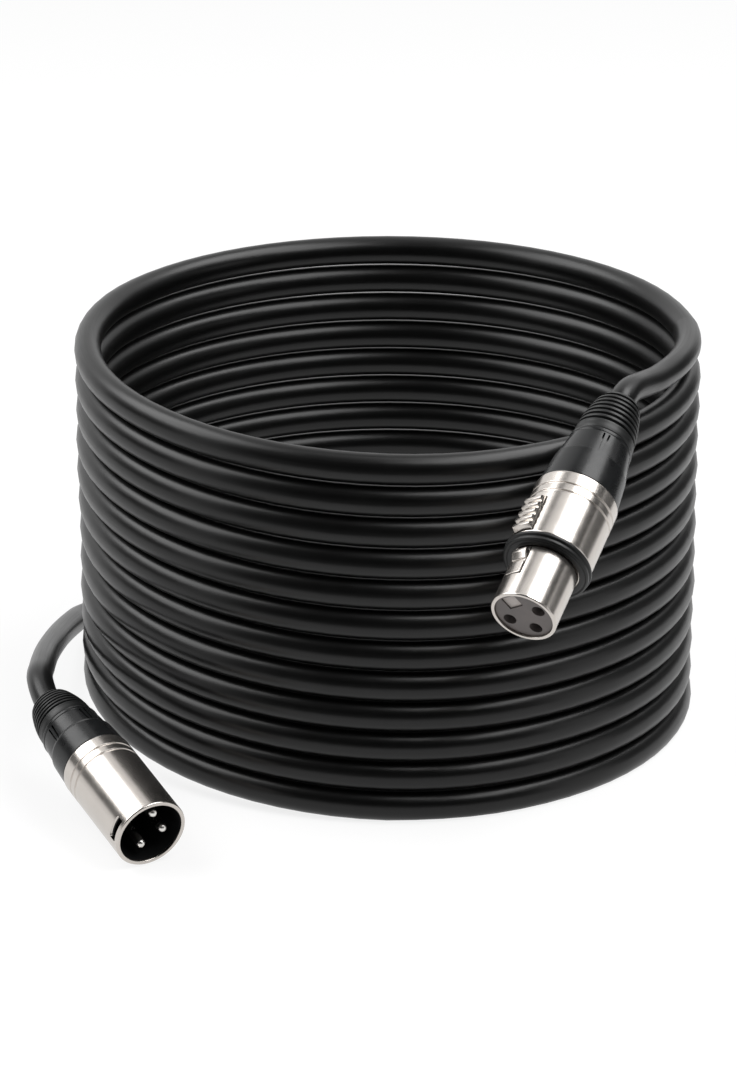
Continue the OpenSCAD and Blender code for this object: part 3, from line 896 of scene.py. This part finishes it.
class CABLE_COIL_OT_female_latch(bpy.types.Operator):
    """Release lever: ribbed thumb pad behind the ring, hook in front of it"""
    bl_idname = "cable_coil.female_latch"
    bl_label = "Latch"

    def execute(self, context):
        f = female()
        nose, barrel = f.nose / MM / 2, f.barrel / MM / 2
        shoulder = (f.length - f.nose_length) / MM
        back = shoulder - RING_WIDTH
        low, high, root = nose - 1.4, nose - 0.2, nose - 0.2 - 0.3
        pad_front, pad_back = back - PAD_FRONT, back - PAD_BACK
        heel, tip_z = pad_back - 1.8 - 0.8, shoulder + 8.2
        lever = plate("lever", [(low, heel), (high, heel), (high, tip_z), (low, tip_z)],
                      LEVER_WIDTH, 0.3)
        top, groove, rib = barrel + 1.3, 0.75, (PAD_BACK - PAD_FRONT) / PAD_RIBS
        ribs = []
        for i in range(PAD_RIBS):
            z = pad_back + rib * i
            ribs += [(top - groove, z + rib * 0.1, 0.05), (top, z + rib * 0.3, 0.15),
                     (top, z + rib * 0.72, 0.15), (top - groove, z + rib * 0.9, 0.05)]
        pad = plate("pad", [(root, pad_back), (top - 1.2, pad_back)] + ribs
                    + [(top - 1.3, pad_front), (root, pad_front)], PAD_WIDTH, 0.1)
        hook_z, hook_r = shoulder + 1.4, nose + 0.95
        hook = plate("hook", [(root, hook_z), (hook_r, hook_z, 0.1),
                              (hook_r, shoulder + 2.2, 0.2), (nose, shoulder + 4, 0.2),
                              (root, shoulder + 4)], LEVER_WIDTH, 0.1)
        tip = plate("tip", [(root, shoulder + 4.6), (nose + 0.05, shoulder + 4.6, 0.1),
                            (nose + 0.05, tip_z, 0.2), (root, tip_z)], LEVER_WIDTH, 0.1)
        obj = joined(lever, pad, hook, tip)
        obj.name = obj.data.name = "female_release_lever"
        settle(obj, female_place(FEMALE_ROLL), "latch", satin_nickel(),
               ("female_latch",))
        return {"FINISHED"}


# ---- Male connector ----

def latch_slot():
    """Cutter for the slot near the mouth, through the shell and its liner."""
    bore, end = male().socket / MM / 2, male().length / MM
    return block("slot", (bore - 2, -SLOT_HALF, end - SLOT_BACK),
                 (bore + 2, SLOT_HALF, end - SLOT_FRONT), 0.3)


class CABLE_COIL_OT_male_shell(bpy.types.Operator):
    """Nickel-plated shell with a rounded mouth and the slot for a latch"""
    bl_idname = "cable_coil.male_shell"
    bl_label = "Male shell"

    def execute(self, context):
        m = male()
        r, bore, end = m.shell / MM / 2, m.socket / MM / 2, m.length / MM
        barrel_z = (m.boot + m.bushing) / MM
        liner_r, socket_back = bore + LINER_WALL, end - 23
        outline = shell_rear(barrel_z, r) + [
            (r, end, 0.5), (bore, end, 0.35), (bore, end - MOUTH_LIP),
            (liner_r, end - MOUTH_LIP), (liner_r, socket_back), (SHELL_BORE_R, socket_back)]
        obj = turned("male_barrel", outline, 0.1, 128)
        cut(obj, latch_slot())
        settle(obj, male_place(MALE_ROLL), BASE, satin_nickel(), ("male_shell",))
        return {"FINISHED"}


class CABLE_COIL_OT_male_insert(bpy.types.Operator):
    """Black insert that carries the pins and lines the socket"""
    bl_idname = "cable_coil.male_insert"
    bl_label = "Male insert"

    def execute(self, context):
        m = male()
        bore, end = m.socket / MM / 2, m.length / MM
        floor = end - m.socket_depth / MM
        back, liner_r, liner_end = floor - MALE_INSERT, bore + 0.44, end - 0.85
        outline = [(0, back), (liner_r, back), (liner_r, liner_end),
                   (bore, liner_end), (bore, floor, 0.4), (0, floor)]
        obj = turned("male_contact_block", outline, 0.1, 96, False)
        face_holes(obj, MALE_HOLE_R, back - 1, floor + 1, mirror=False)
        cut(obj, latch_slot())
        settle(obj, male_place(MALE_ROLL), BASE, socket_liner(),
               ("male_insert",))
        return {"FINISHED"}


class CABLE_COIL_OT_male_pins(bpy.types.Operator):
    """Three contact pins with round tips and solder cups"""
    bl_idname = "cable_coil.male_pins"
    bl_label = "Pins"

    def execute(self, context):
        m = male()
        r, end = m.pin / MM / 2, m.length / MM
        floor, tip = end - m.socket_depth / MM, end - PIN_RECESS
        back, cup_r, cup, root_r = floor - MALE_INSERT, 1.3, 4, r + 0.2
        round_tip = [(r * math.cos(math.radians(a)), tip - r + r * math.sin(math.radians(a)), 0)
                     for a in range(0, 90, 10)]
        outline = [(0, back - cup), (cup_r, back - cup), (cup_r, back), (root_r, back),
                   (root_r, floor), (r, floor, 0)] + round_tip + [(0, tip)]
        first = turned("male_contact_1", outline, 0.08, 40, False)
        shifted(first, (CONTACT_CIRCLE, 0, 0))
        pins = [first] + [copied(first, f"male_contact_{i}") for i in (2, 3)]
        for i, (pin, a) in enumerate(zip(pins, CONTACT_ANGLES)):
            settle(turned_by(pin, a), male_place(MALE_ROLL), BASE, bright_silver(),
                   (f"male_pin_{i + 1}",))
        return {"FINISHED"}


class CABLE_COIL_OT_inner(bpy.types.Operator):
    """Finishes of the pieces that keep the frame's own shape: contacts, chucks, latch pin"""
    bl_idname = "cable_coil.inner"
    bl_label = "Inner pieces"

    def execute(self, context):
        looks = {"female_contact_1": brass_with_painted_shade, "female_contact_2": brass_with_painted_shade,
                 "female_contact_3": brass_with_painted_shade, "female_latch_pin": bright_silver,
                 "female_latch_spring": bright_silver, "female_chuck": black_nylon,
                 "male_chuck": black_nylon, "female_conductors": conductor_insulation,
                 "male_conductors": conductor_insulation}
        for name, make in looks.items():
            slots = frame["nodes"][name].data.materials
            slots.clear()
            slots.append(make())
        return {"FINISHED"}


# ---- Stage ----

CENTRE = Vector((0, 0, 60 * MM))
PAPER_GLOW = 0.82           # share of even white in what a clear ray sees of the floor
DIFFUSE_FILL = 0.35         # the background's level for diffuse light

# The camera looks at a point above the coil's foot. Focal length, shift and width are in
# pixels of the rendered frame.
CAMERA_ELEVATION, CAMERA_REACH, TARGET_HEIGHT = 21.3, 1.0, 45 * MM
FOCAL, FRAME_WIDTH, SHIFT_RIGHT, SHIFT_UP = 3840, 737, -19.1, 0.4
SENSOR_MM = 36


def clear_ray(tree):
    """1 for rays of the camera, of reflections and of glass, and 0 for diffuse light."""
    path = node(tree, "ShaderNodeLightPath")
    seen = node(tree, "ShaderNodeMath", {0: path.outputs["Is Camera Ray"],
                                         1: path.outputs["Is Glossy Ray"]}, operation="MAXIMUM")
    clear = node(tree, "ShaderNodeMath", {0: seen.outputs["Value"],
                                          1: path.outputs["Is Transmission Ray"]},
                 operation="MAXIMUM")
    return clear.outputs["Value"]


def studio_floor():
    """White paper: shows white to the camera and in reflections, and keeps a soft shadow."""
    material, tree, bsdf = new_material("studio_paper")
    if tree is None:
        return material
    bsdf.inputs["Base Color"].default_value = rgba(finish().floor)
    bsdf.inputs["Roughness"].default_value = 0.9
    bsdf.inputs["Specular IOR Level"].default_value = 0
    share = node(tree, "ShaderNodeMath", {0: clear_ray(tree)}, operation="MULTIPLY")
    share.inputs[1].default_value = PAPER_GLOW
    glow = node(tree, "ShaderNodeEmission", Strength=1.0)
    mix = node(tree, "ShaderNodeMixShader", {0: share.outputs["Value"], 1: bsdf.outputs["BSDF"],
                                             2: glow.outputs["Emission"]})
    tree.links.new(mix.outputs["Shader"], tree.nodes["Material Output"].inputs["Surface"])
    return material


def flag_card(level):
    """A card that shows one even grey in reflections, as a lit or unlit flag does."""
    material, tree, bsdf = new_material(f"flag_card_{round(level * 100)}")
    if tree is not None:
        bsdf.inputs["Base Color"].default_value = rgba(linear("#0a0a0a"))
        bsdf.inputs["Roughness"].default_value = 1
        bsdf.inputs["Specular IOR Level"].default_value = 0
        bsdf.inputs["Emission Color"].default_value = (1, 1, 1, 1)
        bsdf.inputs["Emission Strength"].default_value = level
    return material


def aimed(at, target):
    """Rotation of a lamp or card at that place whose face looks at the target."""
    return (Vector(target) - Vector(at)).to_track_quat("-Z", "Y").to_euler()


def softbox(name, at, target, size, power):
    deselect()
    bpy.ops.object.light_add(type="AREA", location=at, rotation=aimed(at, target))
    lamp = bpy.context.object
    lamp.name = name
    lamp.data.shape = "RECTANGLE"
    lamp.data.size, lamp.data.size_y = size
    lamp.data.energy = power


def around(azimuth, elevation, reach, centre=CENTRE):
    """Place seen from a centre in that direction, that far away."""
    a, e = math.radians(azimuth), math.radians(elevation)
    level = math.cos(e)
    return centre + reach * Vector((level * math.cos(a), level * math.sin(a), math.sin(e)))


def reflected_only(obj, name, level):
    """Marks a stage object that only reflections see, so it takes no light from the floor."""
    obj.name = name
    obj.data.materials.append(flag_card(level))
    obj.visible_camera = obj.visible_diffuse = obj.visible_shadow = False


def flag(name, at, turn, size, level=0):
    """A flat card of that size and grey."""
    deselect()
    bpy.ops.mesh.primitive_plane_add(size=1, location=at, rotation=turn)
    card = bpy.context.object
    card.scale = (size[0], size[1], 1)
    bpy.ops.object.transform_apply(location=False, rotation=False, scale=True)
    reflected_only(card, name, level)


def flag_near(name, centre, azimuth, elevation, reach, size, level=0):
    """A card that faces a place from that direction and distance."""
    at = around(azimuth, elevation, reach, Vector(centre))
    flag(name, at, aimed(at, centre), size, level)


def studio_world(scene):
    """White to the camera and in reflections, a plain grey level for diffuse light."""
    world = scene.world or bpy.data.worlds.new("studio")
    scene.world = world
    world.use_nodes = True
    tree = world.node_tree
    tree.nodes.clear()
    fill = node(tree, "ShaderNodeBackground", Strength=DIFFUSE_FILL)
    white = node(tree, "ShaderNodeBackground", Strength=1.0)
    for background in (fill, white):
        background.inputs["Color"].default_value = (1, 1, 1, 1)
    mix = node(tree, "ShaderNodeMixShader", {0: clear_ray(tree), 1: fill.outputs["Background"],
                                             2: white.outputs["Background"]})
    node(tree, "ShaderNodeOutputWorld", {"Surface": mix.outputs["Shader"]})


def add_camera(scene):
    elevation, target = math.radians(CAMERA_ELEVATION), Vector((0, 0, TARGET_HEIGHT))
    at = target + CAMERA_REACH * Vector((0, -math.cos(elevation), math.sin(elevation)))
    bpy.ops.object.camera_add(location=at, rotation=(math.pi / 2 - elevation, 0, 0))
    camera = bpy.context.object
    camera.name = "stage_camera"
    camera.data.sensor_fit = "HORIZONTAL"
    camera.data.sensor_width = SENSOR_MM
    camera.data.lens = SENSOR_MM * FOCAL / FRAME_WIDTH
    camera.data.shift_x = SHIFT_RIGHT / FRAME_WIDTH
    camera.data.shift_y = SHIFT_UP / FRAME_WIDTH
    camera.data.clip_start = 0.01
    scene.camera = camera


class CABLE_COIL_OT_stage(bpy.types.Operator):
    """Pale floor, two soft boxes, flags and the camera"""
    bl_idname = "cable_coil.stage"
    bl_label = "Stage"

    def execute(self, context):
        scene = context.scene
        scene.view_settings.view_transform = "Standard"
        studio_world(scene)
        deselect()
        bpy.ops.mesh.primitive_plane_add(size=16, location=(0, 0, -0.0002))
        floor = context.object
        floor.name = "stage_floor"
        floor.data.materials.append(studio_floor())
        softbox("stage_left_box", around(176, 46, 0.9), CENTRE, (0.8, 0.6), 7)
        softbox("stage_right_box", around(350, 60, 0.9), CENTRE, (1.15, 0.55), 11)
        flag("stage_flag_front", (0, -1.7, 0.9), (math.pi / 2, 0, 0), (5.6, 1.8))
        flag("stage_flag_top", (0, -1, 1.8), (0, 0, 0), (5.6, 1.4))
        flag("stage_flag_table", (0, -0.8, 1 * MM), (0, 0, 0), (1.4, 1.1), 0.06)
        female_at, male_at = (0.045, -0.085, 0.09), (-0.07, -0.08, 0.012)
        flag_near("stage_flag_1", female_at, 122, 66, 0.4, (0.25, 0.08), 0.1)
        flag_near("stage_flag_2", female_at, 6, 30, 0.45, (0.35, 0.18), 0)
        flag_near("stage_flag_3", male_at, 170, 20, 0.4, (0.3, 0.15), 0.05)
        flag_near("stage_flag_4", female_at, 33, 4, 0.4, (0.45, 0.2), 0.1)
        deselect()
        add_camera(scene)
        return {"FINISHED"}


PIECES = (CABLE_COIL_OT_stage, CABLE_COIL_OT_cable, CABLE_COIL_OT_female_rear,
          CABLE_COIL_OT_female_shell, CABLE_COIL_OT_female_ring, CABLE_COIL_OT_female_insert,
          CABLE_COIL_OT_female_latch, CABLE_COIL_OT_male_rear, CABLE_COIL_OT_male_shell,
          CABLE_COIL_OT_male_insert, CABLE_COIL_OT_male_pins, CABLE_COIL_OT_inner)


class CABLE_COIL_PT_panel(bpy.types.Panel):
    """The pieces of the cable coil, in the order that they are made"""
    bl_idname = "CABLE_COIL_PT_panel"
    bl_label = "Cable Coil"
    bl_space_type = "VIEW_3D"
    bl_region_type = "UI"
    bl_category = "Cable Coil"

    def draw(self, context):
        for group in SETTINGS:
            box = self.layout.box()
            values = getattr(context.scene, group)
            for key in values.__annotations__:
                box.prop(values, key)
        for piece in PIECES:
            self.layout.operator(piece.bl_idname)


def register():
    for group, kind in SETTINGS.items():
        bpy.utils.register_class(kind)
        setattr(bpy.types.Scene, group, PointerProperty(type=kind))
    for piece in PIECES:
        bpy.utils.register_class(piece)
    bpy.utils.register_class(CABLE_COIL_PT_panel)


def unregister():
    bpy.utils.unregister_class(CABLE_COIL_PT_panel)
    for piece in reversed(PIECES):
        bpy.utils.unregister_class(piece)
    for group, kind in SETTINGS.items():
        delattr(bpy.types.Scene, group)
        bpy.utils.unregister_class(kind)


CONNECTOR_PIECES = (
    "female_sleeve", "female_strain_relief", "female_barrel", "female_shoulder_ring",
    "female_contact_block", "female_key", "female_release_lever",
    "male_sleeve", "male_strain_relief", "male_barrel", "male_contact_block",
    "male_contact_1", "male_contact_2", "male_contact_3")
CONTACT_NODES = ("female_contact_1", "female_contact_2", "female_contact_3")


def declare_cable():
    pieces = [bpy.data.objects[n] for n in CONNECTOR_PIECES]
    pieces += [frame["nodes"][n] for n in CONTACT_NODES]


def main():
    register()
    for piece in PIECES:
        group, name = piece.bl_idname.split(".")
        if getattr(getattr(bpy.ops, group), name)() != {"FINISHED"}:
            raise RuntimeError(piece.bl_label)
    declare_cable()


if __name__ == "__main__":
    main()
